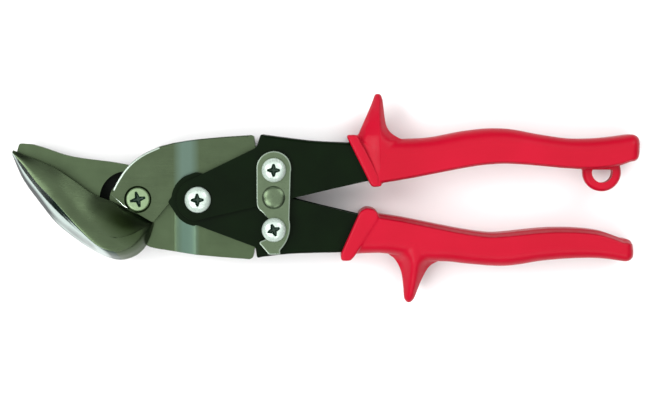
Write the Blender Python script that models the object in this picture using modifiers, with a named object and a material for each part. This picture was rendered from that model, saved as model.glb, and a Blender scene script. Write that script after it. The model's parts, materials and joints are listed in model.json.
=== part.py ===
"""Offset aviation snips, closed and latched, lying flat with their pivot axes along +Z.

The blade pivot is the drawing's zero: x runs along the handles, y across them, and z = 0 is the
plane in which the two blades shear. ZERO moves that drawing to the middle of the part's base.
Two blades cross at the blade pivot, two sheet-metal handles cross at the handle pivot, and a link
bolt joins each blade's tail to the handle on its own side.
"""

import math

import bmesh
import bpy
from mathutils import Vector

# Every dimension is in millimetres.
MM = 0.001
GAP = 0.3  # clearance between pieces that touch
ZERO = Vector((-70.25, -1.05, 9.8))  # where the blade pivot meets the shear plane

# The linkage: a kite of two blades and two handles.
LINK_AXIS_Y = 0.8
HANDLE_PIVOT_X = 22.7
LINK_X = 51.1
LINK_HALF_SPREAD = 11.1
BLADE_PIVOT = (0.0, LINK_AXIS_Y)
HANDLE_PIVOT = (HANDLE_PIVOT_X, LINK_AXIS_Y)
UPPER_LINK = (LINK_X, LINK_AXIS_Y + LINK_HALF_SPREAD)
LOWER_LINK = (LINK_X, LINK_AXIS_Y - LINK_HALF_SPREAD)

# Heights above or below the shear plane.
SHEAR = 0.15  # half the slit between the blades
BLADE_HIGH = 4.0
LOWER_FLANGE_LOW, LOWER_FLANGE_HIGH = 4.3, 5.7
UPPER_FLANGE_LOW, UPPER_FLANGE_HIGH = 6.0, 7.5
LATCH_LOW, LATCH_HIGH = 7.8, 9.3
GRIP_HIGH = 9.8
COLLAR_HIGH = 9.4
NUT_LOW = 9.6  # how far every nut reaches below the shear plane, at most

# Round fits.
SHANK = 2.9
BORE = SHANK + GAP
LOOSE_BORE = 3.7  # the upper link's bore in the near blade, where the linkage's loop is left open
HEAD = 4.5
PIVOT_HEAD = 4.85
COUNTERBORE, COUNTERBORE_FLOOR = 5.2, 2.0
CATCH_NECK = 1.7  # the lower link bolt's neck, which the latch hooks round
CATCH_MOUTH = 4.4  # the latch's mouth round that neck
NUT_ACROSS = 10.0
NUT_SLACK = 0.12  # round the plain shank that stands in for a thread
TURNED_STEPS = 28
THROUGH = 20.0  # cutters that go right through reach this far either way

# Blade outlines.
HUB_ROUND = 7.6  # the blades' waists, struck from the handle pivot
TAIL_ROUND = 7.4  # the tails' ends, struck from the link bolts
RAMP_START, RAMP_END = 13.6, 21.4  # where each tail's face crosses the shear plane
RELIEF_CENTRE = (-4.4, 0.9)  # the throat's relief curves round this point
BELOW_PLANE = -1.0  # the offset jaw is drawn to here and then cut back to the shear plane

# Sheet, grips and latch.
SHEET = 1.5
GRIP_EDGE = 3.6
LATCH_HALF_WIDTH = 6.4
THUMB_BOSS_CENTRE = (51.0, 1.7)
THUMB_BOSS = ((0, 10.5), (2.2, 10.3), (3.6, 9.8), (4.4, 9.0), (4.4, 8.4), (0, 8.4))
LOOP_CENTRE = (174.1, 10.9)
LOOP_OUTER, LOOP_INNER, LOOP_HIGH = 7.3, 3.9, 3.0
GUARD_ROOT, GUARD_TIP = 8.6, 2.4  # half depths of the finger guards

# The torsion spring.
SPRING_WIRE = 0.65
SPRING_RADIUS = 5.2
SPRING_TURNS = 3
SPRING_LEG = 19.0
SPRING_SPLAY = 2.4  # how far each leg's end leans out
SPRING_ROOM = 4.0  # half the depth it is wound in

# Colours (linear) with metallic and roughness.
FINISHES = {
    "blade_steel": ((0.33, 0.33, 0.29), 1.0, 0.34),
    "zinc_plate": ((0.62, 0.63, 0.60), 1.0, 0.24),
    "black_enamel": ((0.014, 0.015, 0.015), 0.0, 0.42),
    "red_vinyl": ((0.62, 0.028, 0.05), 0.0, 0.38),
    "spring_steel": ((0.20, 0.20, 0.21), 1.0, 0.38),
}


# ---- drawing helpers -------------------------------------------------------------------------


def arc(centre, radius, start, end, steps):
    """Points on a circle from one angle in degrees to another, both ends included."""
    turns = [math.radians(start + (end - start) * i / steps) for i in range(steps + 1)]
    return [(centre[0] + radius * math.cos(t), centre[1] + radius * math.sin(t)) for t in turns]


def smooth(points, steps):
    """A Catmull-Rom curve through the points, with this many steps between neighbours."""
    ends = [points[0], *points, points[-1]]
    found = []
    for i in range(len(points) - 1):
        a, b, c, d = (Vector(p) for p in ends[i : i + 4])
        for k in range(steps):
            t = k / steps
            curve = 2 * b + (c - a) * t + (2 * a - 5 * b + 4 * c - d) * t**2
            curve += (3 * b - a - 3 * c + d) * t**3
            found.append(tuple(curve / 2))
    return [*found, tuple(points[-1])]


def turned_point(point, centre, degrees):
    """A drawing point turned about a centre."""
    turn = math.radians(degrees)
    x, y = point[0] - centre[0], point[1] - centre[1]
    return (
        centre[0] + x * math.cos(turn) - y * math.sin(turn),
        centre[1] + x * math.sin(turn) + y * math.cos(turn),
    )


def in_metres(x, y, z=0.0):
    return (Vector((x, y, z)) + ZERO) * MM


def collection(name):
    made = bpy.data.collections.new(name)
    bpy.context.scene.collection.children.link(made)
    return made


def mesh_object(name, mesh, home):
    obj = bpy.data.objects.new(name, mesh)
    home.objects.link(obj)
    if home is CUTTERS:
        obj.hide_render = True
        obj.display_type = "WIRE"
    return obj


def object_from(name, work, home):
    """Closes a bmesh into a mesh object with its faces pointing out."""
    bmesh.ops.recalc_face_normals(work, faces=work.faces[:])
    mesh = bpy.data.meshes.new(name)
    work.to_mesh(mesh)
    work.free()
    return mesh_object(name, mesh, home)


def slab(name, outline, low, high, home=None, edge=0.0):
    """A flat outline made solid between two heights, its rims rounded by edge."""
    curve = bpy.data.curves.new(name, "CURVE")
    curve.dimensions = "2D"
    curve.fill_mode = "BOTH"
    curve.extrude = ((high - low) / 2 - edge) * MM
    curve.bevel_depth = edge * MM
    curve.offset = -edge * MM
    curve.bevel_resolution = 2
    spline = curve.splines.new("POLY")
    spline.points.add(len(outline) - 1)
    for point, (x, y) in zip(spline.points, outline):
        flat = in_metres(x, y)
        point.co = (flat.x, flat.y, 0.0, 1.0)
    spline.use_cyclic_u = True
    drawn = bpy.data.objects.new(name + "_outline", curve)
    drawn.location.z = in_metres(0, 0, (low + high) / 2).z
    bpy.context.scene.collection.objects.link(drawn)
    bpy.context.view_layer.update()
    graph = bpy.context.evaluated_depsgraph_get()
    work = bmesh.new()
    work.from_mesh(bpy.data.meshes.new_from_object(drawn.evaluated_get(graph)))
    bmesh.ops.transform(work, matrix=drawn.matrix_world, verts=work.verts[:])
    bmesh.ops.remove_doubles(work, verts=work.verts[:], dist=1e-6)
    bpy.data.objects.remove(drawn)
    return object_from(name, work, home or CUTTERS)


def turned(name, centre, profile, home=None, steps=TURNED_STEPS):
    """A solid turned about a pivot axis from (radius, height) points, top to bottom."""
    axis = in_metres(*centre)
    work = bmesh.new()
    corners = [work.verts.new((r * MM, 0.0, z * MM)) for r, z in profile]
    for upper, lower in zip(corners, corners[1:]):
        work.edges.new((upper, lower))
    if profile[0][0] > 0:
        work.edges.new((corners[-1], corners[0]))
    mesh = bpy.data.meshes.new(name)
    work.to_mesh(mesh)
    work.free()
    obj = mesh_object(name, mesh, home or CUTTERS)
    obj.location = axis
    screw = obj.modifiers.new("turn", "SCREW")
    screw.steps = steps
    screw.render_steps = steps
    screw.use_merge_vertices = True
    screw.merge_threshold = 1e-5
    return obj


def rod(name, centre, radius, low, high, home=None, steps=TURNED_STEPS):
    return turned(name, centre, [(0, high), (radius, high), (radius, low), (0, low)], home, steps)


def ring(name, centre, inner, outer, low, high, home=None):
    rim = [(outer, high), (outer, low), (inner, low), (inner, high)]
    return turned(name, centre, rim, home)


def boolean(obj, other, operation):
    step = obj.modifiers.new(other.name, "BOOLEAN")
    step.object = other
    step.operation = operation
    step.solver = "EXACT"


def cut(obj, *cutters):
    for cutter in cutters:
        boolean(obj, cutter, "DIFFERENCE")


def join(obj, *others):
    for other in others:
        boolean(obj, other, "UNION")


def loft(name, sections, home=None):
    """A closed skin over rows of points, each row a section of the same count."""
    work = bmesh.new()
    rows = [[work.verts.new(in_metres(*p)) for p in section] for section in sections]
    count = len(rows[0])
    for one, two in zip(rows, rows[1:]):
        for i in range(count):
            j = (i + 1) % count
            work.faces.new((one[i], one[j], two[j], two[i]))
    work.faces.new(rows[0])
    work.faces.new(rows[-1])
    bmesh.ops.triangulate(work, faces=work.faces[:])
    return object_from(name, work, home or CUTTERS)


def finish(obj, body, material):
    """Gives the piece its own material and hangs it on its body's axis."""
    colour, metallic, roughness = FINISHES[material]
    made = bpy.data.materials.new(obj.name)
    made.use_nodes = True
    shader = made.node_tree.nodes["Principled BSDF"]
    shader.inputs["Base Color"].default_value = (*colour, 1.0)
    shader.inputs["Metallic"].default_value = metallic
    shader.inputs["Roughness"].default_value = roughness
    made.diffuse_color = (*colour, 1.0)
    obj.data.materials.clear()
    obj.data.materials.append(made)
    obj.parent = BODIES[body]
    obj.location -= AXES[body]
    if obj.type == "MESH":
        obj.data.shade_smooth()
        obj.data.set_sharp_from_angle(angle=math.radians(35))


# ---- bodies ----------------------------------------------------------------------------------


AXES = {
    "lower_handle": in_metres(*HANDLE_PIVOT),
    "upper_handle": in_metres(*HANDLE_PIVOT),
    "far_blade": in_metres(*LOWER_LINK),
    "near_blade": in_metres(*BLADE_PIVOT),
    "latch": in_metres(*UPPER_LINK),
}
CARRIERS = {
    "upper_handle": "lower_handle",
    "far_blade": "lower_handle",
    "near_blade": "far_blade",
    "latch": "upper_handle",
}


def make_bodies():
    """One empty for each moving body, on its joint's axis, in a tree rooted at the lower handle."""
    made = {}
    for name, axis in AXES.items():
        empty = bpy.data.objects.new(name + "_axis", None)
        empty.empty_display_size = 5 * MM
        empty.location = axis
        PIECES.objects.link(empty)
        made[name] = empty
    for name, carrier in CARRIERS.items():
        made[name].parent = made[carrier]
        made[name].location = AXES[name] - AXES[carrier]
    return made


# ---- blades ----------------------------------------------------------------------------------

# The offset jaw by stations from its point to its heel: cutting edge, crease and outer silhouette
# in the drawing, then the crease's height above the shear plane and the part of that height at
# which the face starts at its cutting edge.
JAW_STATIONS = (
    ((-47.0, 19.2), (-47.2, 18.3), (-47.4, 17.0), 2.4, 0.60),
    ((-42.5, 17.3), (-42.3, 13.0), (-43.5, 8.2), 4.4, 0.60),
    ((-36.5, 14.9), (-37.0, 6.4), (-37.4, -0.4), 6.2, 0.58),
    ((-30.0, 11.9), (-31.6, 1.2), (-31.4, -7.9), 7.6, 0.54),
    ((-23.2, 7.2), (-26.0, -4.8), (-25.0, -13.3), 8.5, 0.44),
    ((-17.0, 2.8), (-20.6, -10.4), (-18.6, -17.7), 9.0, 0.34),
    ((-11.6, 0.6), (-15.0, -16.0), (-12.6, -20.9), 9.2, 0.28),
    ((-7.0, -1.6), (-8.2, -18.4), (-6.9, -22.2), 9.0, 0.25),
    ((-2.4, -4.0), (-2.4, -16.8), (-1.0, -20.2), 8.2, 0.25),
    ((2.4, -5.8), (2.4, -11.6), (4.3, -14.8), 6.0, 0.30),
    ((5.2, -7.2), (5.5, -8.4), (6.1, -9.2), 3.8, 0.38),
)


def jaw_section(edge, crease, outer, height, land):
    """One station: up the land, over the swelling face and the crease, and down to the base."""
    edge, crease, outer = Vector(edge), Vector(crease), Vector(outer)
    across = [(edge, BELOW_PLANE)]
    for part in (0.0, 0.16, 0.38, 0.65, 1.0):
        swell = land + (1 - land) * math.sin(math.pi / 2 * part)
        across.append((edge.lerp(crease, part), height * swell))
    across += [
        (crease.lerp(outer, 0.38), height * 0.82),
        (crease.lerp(outer, 0.84), height * 0.32),
        (outer, height * 0.06 + SHEAR),
        (crease.lerp(outer, 0.86), BELOW_PLANE),
    ]
    return [(p.x, p.y, z) for p, z in across]


def shear_cutter(name, side):
    """Clears one side of the shear plane up to the tail, whose face ramps across it."""
    near, far = side * SHEAR, -side * BLADE_HIGH
    beyond = -side * THROUGH
    corners = [(-80.0, near), (RAMP_START, near), (RAMP_END, far), (RAMP_END, beyond), (-80.0, beyond)]
    return loft(name, [[(x, y, z) for x, z in corners] for y in (-60.0, 60.0)])


def near_blade():
    """The blade nearest the viewer: offset lower jaw, hub plate and the tail that rises."""
    hub = [
        *arc((10.5, -4.0), 21.6, 161, 126, 6),
        *smooth([(1.7, 17.4), (10.5, 21.1), (16.7, 22.5), (29.2, 24.0), (42.4, 24.7)], 2),
        (43.3, 24.3),
        (44.0, 20.3),
        *arc(UPPER_LINK, TAIL_ROUND, 118, -118, 14),
        (39.5, 5.6),
        (29.5, 8.2),
        *arc(HANDLE_PIVOT, HUB_ROUND, 60, 150, 5),
        (11.7, -0.6),
        (5.6, -7.9),
        (-5.4, -1.8),
    ]
    blade = slab("near_blade", hub, -BLADE_HIGH, BLADE_HIGH, PIECES)
    join(blade, loft("offset_jaw", [jaw_section(*s) for s in JAW_STATIONS]))
    cut(blade, shear_cutter("near_shear_plane", 1))
    stepped = [(0, THROUGH), (COUNTERBORE, THROUGH), (COUNTERBORE, COUNTERBORE_FLOOR)]
    stepped += [(BORE, COUNTERBORE_FLOOR), (BORE, -THROUGH), (0, -THROUGH)]
    cut(blade, rod("near_link_bore", UPPER_LINK, LOOSE_BORE, -THROUGH, THROUGH))
    cut(blade, turned("near_pivot_bore", BLADE_PIVOT, stepped))
    finish(blade, "near_blade", "blade_steel")


def far_blade():
    """The blade behind: straight upper jaw, hub and the tail that falls."""
    jaw_top = [(-40.0, 21.4), (-34.9, 19.9), (-28.2, 17.6), (-21.5, 16.2), (-10.5, 14.8)]
    plate = [
        (-44.9, 21.8),
        *smooth([*jaw_top, (-3.0, 13.5)], 2),
        *arc(BLADE_PIVOT, 12.6, 95, 10, 6),
        *arc(HANDLE_PIVOT, HUB_ROUND, 210, 300, 5),
        (29.5, -7.6),
        (39.5, -5.0),
        *arc(LOWER_LINK, TAIL_ROUND, 118, -118, 14),
        (43.8, -17.2),
        (43.1, -21.1),
        (41.9, -21.7),
        *smooth([(29.2, -20.7), (19.8, -19.8), (10.5, -18.5), (3.3, -16.9), (-4.0, -12.0)], 2),
        (-12.0, -4.5),
        *smooth([(-18.0, -0.5), (-28.0, 6.2), (-38.0, 12.4), (-46.2, 17.2)], 2),
    ]
    relief = [*arc(RELIEF_CENTRE, 10.4, 186, 92, 9), *arc(RELIEF_CENTRE, 6.6, 92, 186, 9)]
    blade = slab("far_blade", plate, -BLADE_HIGH, BLADE_HIGH, PIECES)
    cut(blade, shear_cutter("far_shear_plane", -1))
    cut(blade, slab("throat_relief", relief, -2.8, 5.0))
    cut(blade, rod("far_pivot_bore", BLADE_PIVOT, BORE, -THROUGH, THROUGH))
    cut(blade, rod("far_link_bore", LOWER_LINK, BORE, -THROUGH, THROUGH))
    finish(blade, "far_blade", "blade_steel")


# ---- handles ---------------------------------------------------------------------------------


def channel(name, outline, hollow, low, high, body, bores):
    """A folded sheet channel: the outline's full depth, with its inside opened towards one edge."""
    handle = slab(name, outline, -high, high, PIECES)
    cut(handle, slab(name + "_hollow", hollow, -low, low))
    for i, (centre, radius) in enumerate(bores):
        cut(handle, rod(f"{name}_bore_{i}", centre, radius, -THROUGH, THROUGH))
    finish(handle, body, "black_enamel")


UPPER_TANG = ((86.0, 20.6), (112.0, 21.4), (135.0, 23.6), (150.0, 21.6), (168.0, 20.2))
UPPER_TANG_END = ((168.0, 16.2), (150.0, 17.2), (135.0, 18.4), (112.0, 14.6), (92.0, 10.6))
LOWER_TANG_END = ((92.0, -8.0), (112.0, -12.0), (135.0, -15.2), (150.0, -14.2), (168.0, -14.0))
LOWER_TANG = ((168.0, -18.2), (150.0, -18.8), (135.0, -20.4), (112.0, -18.6), (86.0, -16.4))


def upper_handle():
    """The outer channel, with its web along the top edge from the tail's end to the grip."""
    web = [(46.2, 25.2), (55.9, 23.9), (66.4, 22.7), (78.6, 22.1)]
    outline = [
        *arc(HANDLE_PIVOT, 7.9, 262, 116, 10),
        (43.9, 19.9),
        (44.7, 20.8),
        *web,
        *UPPER_TANG,
        *UPPER_TANG_END,
        (86.0, 7.8),
        (71.7, 4.6),
        (58.2, 1.4),
    ]
    inside = [(x, y - SHEET) for x, y in (*web, *UPPER_TANG)]
    hollow = [
        (46.7, 40.0),
        (46.7, inside[0][1]),
        *inside[1:],
        (180.0, inside[-1][1]),
        (180.0, 0.0),
        (92.0, -2.0),
        (60.0, -12.0),
        (0.0, -20.0),
        (0.0, 40.0),
    ]
    bores = ((HANDLE_PIVOT, BORE), (UPPER_LINK, BORE))
    channel(
        "upper_handle", outline, hollow, UPPER_FLANGE_LOW, UPPER_FLANGE_HIGH, "upper_handle", bores
    )


def lower_handle():
    """The inner channel, nested in the other, with its web along the bottom edge."""
    web = [(44.7, -21.0), (53.7, -19.9), (61.1, -19.4), (77.0, -19.0)]
    outline = [
        (22.0, 10.6),
        *arc(HANDLE_PIVOT, 10.0, 118, 178, 4),
        (11.6, -0.6),
        *arc(HANDLE_PIVOT, 10.0, 206, 262, 4),
        (22.0, -9.2),
        (44.1, -17.0),
        *web,
        *reversed(LOWER_TANG),
        *reversed(LOWER_TANG_END),
        (82.2, -4.7),
        (69.1, -1.6),
        (58.2, 1.1),
        (36.0, 7.4),
    ]
    inside = [(x, y + SHEET) for x, y in (*web, *reversed(LOWER_TANG))]
    hollow = [
        (0.0, 30.0),
        (0.0, -40.0),
        (45.2, -40.0),
        (45.2, inside[0][1]),
        *inside[1:],
        (180.0, inside[-1][1]),
        (180.0, 0.0),
        (92.0, 2.0),
        (60.0, 12.0),
    ]
    bores = ((HANDLE_PIVOT, BORE), (LOWER_LINK, BORE))
    channel(
        "lower_handle", outline, hollow, LOWER_FLANGE_LOW, LOWER_FLANGE_HIGH, "lower_handle", bores
    )


# ---- grips -----------------------------------------------------------------------------------


def guard(name, base, tip):
    """A finger guard: a fin that narrows from its base on the grip to a blunt tip."""
    rows = []
    for along, half in ((0.0, GUARD_ROOT), (0.55, GUARD_ROOT * 0.62), (0.9, GUARD_TIP), (1.0, 0.9)):
        left = Vector(base[0]).lerp(Vector(tip[0]), along)
        right = Vector(base[1]).lerp(Vector(tip[1]), along)
        ridge = left.lerp(right, 0.45)
        row = [(left.x, left.y, half * 0.35), (ridge.x, ridge.y, half), (right.x, right.y, half * 0.5)]
        row += [(right.x, right.y, -half * 0.5), (ridge.x, ridge.y, -half)]
        row += [(left.x, left.y, -half * 0.35)]
        rows.append(row)
    return loft(name, rows)


def grip(name, outline, collar, fin):
    """A moulded sleeve, still solid: rounded slab, collar band and guard."""
    sleeve = slab(name, outline, -GRIP_HIGH, GRIP_HIGH, PIECES, GRIP_EDGE)
    join(sleeve, slab(name + "_collar", collar, -COLLAR_HIGH, COLLAR_HIGH, None, 1.0))
    join(sleeve, fin)
    return sleeve


def hollow_grip(sleeve, pocket, handle_high, body):
    """Opens the grip's pocket for its handle."""
    deep = handle_high + GAP
    cut(sleeve, slab(sleeve.name + "_pocket", pocket, -deep, deep))
    finish(sleeve, body, "red_vinyl")


def upper_grip():
    outline = [
        (82.6, 23.6),
        *smooth([(97.0, 23.8), (109.8, 24.2), (120.7, 26.2), (132.0, 27.4), (141.0, 26.9)], 2)[:-1],
        *smooth([(141.0, 26.9), (150.5, 25.1), (162.0, 23.6), (173.0, 23.8), (186.0, 25.4)], 2),
        (187.9, 20.4),
        (186.3, 16.6),
        *smooth([(181.8, 13.9), (166.9, 12.2), (158.0, 12.7), (150.5, 13.4), (139.3, 14.2)], 2)[:-1],
        *smooth([(139.3, 14.2), (131.9, 14.0), (124.5, 13.2), (113.3, 11.0), (91.6, 7.0)], 2),
    ]
    collar = [(79.2, 24.0), (88.8, 5.7), (91.7, 6.5), (83.1, 24.3)]
    pocket = [
        (76.0, 25.0),
        (78.6, 22.1 + GAP),
        *((x, y + GAP) for x, y in UPPER_TANG[:-1]),
        (168.0 + GAP, 20.2 + GAP),
        (168.0 + GAP, 16.2 - GAP),
        *((x, y - GAP) for x, y in UPPER_TANG_END[1:]),
        (86.0, 7.8 - GAP),
        (80.0, 6.4 - GAP),
    ]
    fin = guard("upper_guard", ((84.0, 21.0), (98.5, 22.0)), ((88.9, 40.4), (91.2, 40.4)))
    sleeve = grip("upper_grip", outline, collar, fin)
    join(sleeve, ring("hang_loop", LOOP_CENTRE, 0.5, LOOP_OUTER, -LOOP_HIGH, LOOP_HIGH))
    hole = arc(LOOP_CENTRE, LOOP_INNER, 162, 378, 16)
    cut(sleeve, slab("hang_hole", hole, -THROUGH, THROUGH))
    hollow_grip(sleeve, pocket, UPPER_FLANGE_HIGH, "upper_handle")


def lower_grip():
    outline = [
        (80.5, -19.6),
        (92.0, -19.3),
        *smooth([(98.0, -22.0), (110.0, -23.6), (118.0, -22.6), (134.9, -24.2), (143.1, -23.6)], 2)[:-1],
        *smooth([(143.1, -23.6), (150.5, -22.3), (162.0, -21.2), (173.0, -21.2), (183.7, -22.6)], 2),
        (185.4, -18.5),
        (184.0, -15.4),
        *smooth([(179.0, -12.8), (172.9, -11.0), (158.0, -9.9), (147.0, -10.6), (135.6, -11.6)], 2)[:-1],
        *smooth([(135.6, -11.6), (129.7, -11.6), (120.7, -10.3), (109.6, -8.0), (89.9, -4.6)], 2),
    ]
    collar = [(76.5, -19.6), (79.0, -21.8), (82.6, -19.4), (90.3, -5.6), (88.4, -2.8), (83.8, -4.0)]
    collar.reverse()
    pocket = [
        (80.0, -4.2 + GAP),
        (82.2, -4.7 + GAP),
        *((x, y + GAP) for x, y in LOWER_TANG_END[:-1]),
        (168.0 + GAP, -14.0 + GAP),
        (168.0 + GAP, -18.2 - GAP),
        *((x, y - GAP) for x, y in LOWER_TANG[1:]),
        (77.0, -19.0 - GAP),
        (74.0, -19.1 - GAP),
    ]
    fin = guard("lower_guard", ((96.2, -20.4), (111.5, -21.6)), ((101.0, -38.3), (103.2, -38.3)))
    hollow_grip(grip("lower_grip", outline, collar, fin), pocket, LOWER_FLANGE_HIGH, "lower_handle")


# ---- latch -----------------------------------------------------------------------------------


def latch():
    """The plate that swings on the upper link bolt and hooks the lower one's neck."""
    cx, cy = UPPER_LINK
    hx, hy = LOWER_LINK
    outline = [
        *arc(UPPER_LINK, LATCH_HALF_WIDTH, -12, 180, 14),
        (cx - LATCH_HALF_WIDTH, 1.6),
        *arc((cx - 2.6, -0.4), 3.8, 180, 236, 3),
        *arc((hx + 0.2, hy), CATCH_MOUTH, 116, -42, 10),
        (hx + 1.2, hy - 2.2),
        (hx - 5.0, hy - 4.2),
        (hx - 5.6, hy - 5.0),
        (hx - 1.9, hy - 9.3),
        (hx + 2.4, hy - 9.3),
        *arc((cx - 6.2, -9.0), 12.3, -46, 12, 6),
    ]
    plate = slab("latch", list(reversed(outline)), LATCH_LOW, LATCH_HIGH, PIECES)
    cut(plate, rod("latch_bore", UPPER_LINK, BORE, -THROUGH, THROUGH))
    join(plate, turned("thumb_boss", THUMB_BOSS_CENTRE, THUMB_BOSS))
    finish(plate, "latch", "zinc_plate")


# ---- bolts, nuts, washers and spring ---------------------------------------------------------


def cross_recess(name, centre, top, turn):
    """The driver recess: a four-armed cross, turned about the head's axis."""
    arm, half = 2.5, 0.55
    quarter = [(half, -half), (arm, -half), (arm, half)]
    flat = [turned_point(p, (0, 0), 90 * i + turn) for i in range(4) for p in quarter]
    outline = [(centre[0] + x, centre[1] + y) for x, y in flat]
    return slab(name, outline, top - 1.5, top + 1.0)


def bolt(name, centre, head, under, top, shank, steps, end, body, turn):
    """A domed pan-head bolt; steps are (radius, lowest height) shoulders above the plain shank."""
    rise = top - under
    crown = [(0, top), (head * 0.5, top - rise * 0.08), (head * 0.82, top - rise * 0.34)]
    profile = [*crown, (head, top - rise * 0.72), (head, under)]
    height = under
    for radius, low in (*steps, (shank, end + 0.5)):
        profile += [(radius, height), (radius, low)]
        height = low
    profile += [(shank - 0.5, end), (0, end)]
    made = turned(name, centre, profile, PIECES)
    cut(made, cross_recess(name + "_recess", centre, top, turn))
    finish(made, body, "zinc_plate")


def nut(name, centre, low, high, across, body):
    """A hexagon nut with its hole open from end to end."""
    outline = arc(centre, across / math.sqrt(3), 0, 300, 5)
    made = slab(name, outline, low, high, PIECES)
    cut(made, rod(name + "_hole", centre, SHANK + NUT_SLACK, -THROUGH, THROUGH))
    finish(made, body, "zinc_plate")


def washer(name, centre, inner, outer, low, high, body, material="zinc_plate"):
    finish(ring(name, centre, inner, outer, low, high, PIECES), body, material)


def fasteners():
    """The four pivot bolts with their nuts, spacers and washers."""
    nut_end = -NUT_LOW + GAP
    bolt("blade_pivot_bolt", BLADE_PIVOT, 4.35, 2.3, 4.7, SHANK, (), -8.6, "far_blade", 12)
    washer("blade_pivot_washer", BLADE_PIVOT, BORE, 6.0, -5.3, -4.3, "far_blade")
    nut("blade_pivot_nut", BLADE_PIVOT, -8.9, -5.6, NUT_ACROSS, "far_blade")
    top = UPPER_FLANGE_HIGH + GAP
    bolt(
        "handle_pivot_bolt", HANDLE_PIVOT, PIVOT_HEAD, top, top + 2.8, SHANK, (), nut_end,
        "lower_handle", 40,
    )
    nut("handle_pivot_nut", HANDLE_PIVOT, -NUT_LOW, -top, NUT_ACROSS, "lower_handle")
    washer("handle_pivot_sleeve", HANDLE_PIVOT, BORE, BORE + 0.7, -4.0, 4.0, "lower_handle")
    bolt(
        "upper_link_bolt", UPPER_LINK, HEAD, LATCH_HIGH + 0.9, 12.9, SHANK, (), nut_end,
        "upper_handle", 20,
    )
    nut("upper_link_nut", UPPER_LINK, -NUT_LOW, -top, NUT_ACROSS, "upper_handle")
    for side, name in ((1, "front"), (-1, "back")):
        low, high = BLADE_HIGH + GAP, UPPER_FLANGE_LOW - GAP
        low, high = min(side * low, side * high), max(side * low, side * high)
        washer(f"upper_link_spacer_{name}", UPPER_LINK, BORE, 6.6, low, high, "upper_handle")
    shoulder = LOWER_FLANGE_HIGH + GAP
    bolt(
        "lower_link_bolt", LOWER_LINK, HEAD, LATCH_HIGH + GAP, 12.4, SHANK,
        ((CATCH_NECK, LATCH_LOW - GAP),), -8.9, "lower_handle", 8,
    )
    washer(
        "catch_collar", LOWER_LINK, BORE, 4.4, shoulder, LATCH_LOW - 2 * GAP, "lower_handle"
    )
    nut("lower_link_nut", LOWER_LINK, -NUT_LOW, -shoulder, NUT_ACROSS, "lower_handle")
    washer(
        "latch_spring_washer", UPPER_LINK, BORE, 4.2, LATCH_HIGH + 0.2, LATCH_HIGH + 0.7,
        "upper_handle", "spring_steel",
    )


def opening_spring():
    """A torsion spring round the handle pivot, its legs lying along the two handles."""
    cx, cy = HANDLE_PIVOT
    start, end = 100.0, 100.0 + 360.0 * SPRING_TURNS + 160.0
    reach = SPRING_ROOM - SPRING_WIRE
    count = 16 * SPRING_TURNS
    coil = []
    for i in range(count + 1):
        turn = math.radians(start + (end - start) * i / count)
        height = -reach + 2 * reach * i / count
        coil.append((cx + SPRING_RADIUS * math.cos(turn), cy + SPRING_RADIUS * math.sin(turn), height))
    first = (coil[0][0] + SPRING_LEG, coil[0][1] - SPRING_SPLAY, coil[0][2])
    last = (coil[-1][0] + SPRING_LEG, coil[-1][1] + SPRING_SPLAY, coil[-1][2])
    curve = bpy.data.curves.new("opening_spring", "CURVE")
    curve.dimensions = "3D"
    curve.bevel_depth = SPRING_WIRE * MM
    curve.bevel_resolution = 1
    curve.use_fill_caps = True
    spline = curve.splines.new("POLY")
    route = [first, *coil, last]
    spline.points.add(len(route) - 1)
    for point, place in zip(spline.points, route):
        point.co = (*in_metres(*place), 1.0)
    spring = bpy.data.objects.new("opening_spring", curve)
    PIECES.objects.link(spring)
    finish(spring, "lower_handle", "spring_steel")


# ---- the whole -------------------------------------------------------------------------------

for old in list(bpy.data.objects):
    bpy.data.objects.remove(old)
PIECES = collection("aviation_snips")
CUTTERS = collection("cutters")
BODIES = make_bodies()

near_blade()
far_blade()
upper_handle()
lower_handle()
upper_grip()
lower_grip()
latch()
fasteners()
opening_spring()
bpy.context.view_layer.update()
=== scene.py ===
"""The finished look of the offset aviation snips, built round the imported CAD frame.

Drawing coordinates are millimetres: x along the handles, y across them and z above the shear
plane, with the zero beside the blade pivot. ZERO, read from the frame's joints, places that
drawing in the model. Every CAD node is replaced by a finer mesh of the same piece. The handles'
ends, hidden inside the grips, stop short of the CAD's tangs (see TANG_END).
"""

import json
import math

import bmesh
import bpy
from mathutils import Matrix, Vector

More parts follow.
